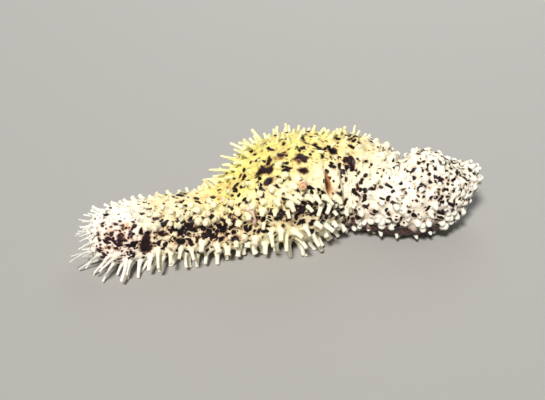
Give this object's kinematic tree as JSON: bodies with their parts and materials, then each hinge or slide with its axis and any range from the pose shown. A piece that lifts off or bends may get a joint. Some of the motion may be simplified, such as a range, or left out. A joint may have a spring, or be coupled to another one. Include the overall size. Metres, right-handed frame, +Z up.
{
  "type": "peppered sea cucumber",
  "caption": "Life-size still model of a small sea cucumber lying on its belly, its back arched aside, with five bands of tube feet and its tentacles drawn in.",
  "frame": {"origin": "on the floor, under the middle of the animal's box", "axes": "+X runs from the mouth end to the tail, +Y away from the side shown in the picture, +Z up"},
  "size_m": [0.1004, 0.0428, 0.0272],
  "materials": {
    "skin": "moist, leathery cream skin peppered with dark brown",
    "tube_feet": "moist, translucent off-white"
  },
  "bodies": {
    "root": {"mouth_end": "skin", "fore_trunk": "skin", "middle_trunk": "skin", "hind_trunk": "skin", "rear_lobe": "skin", "tail_tip": "skin"}
  },
  "joints": []
}
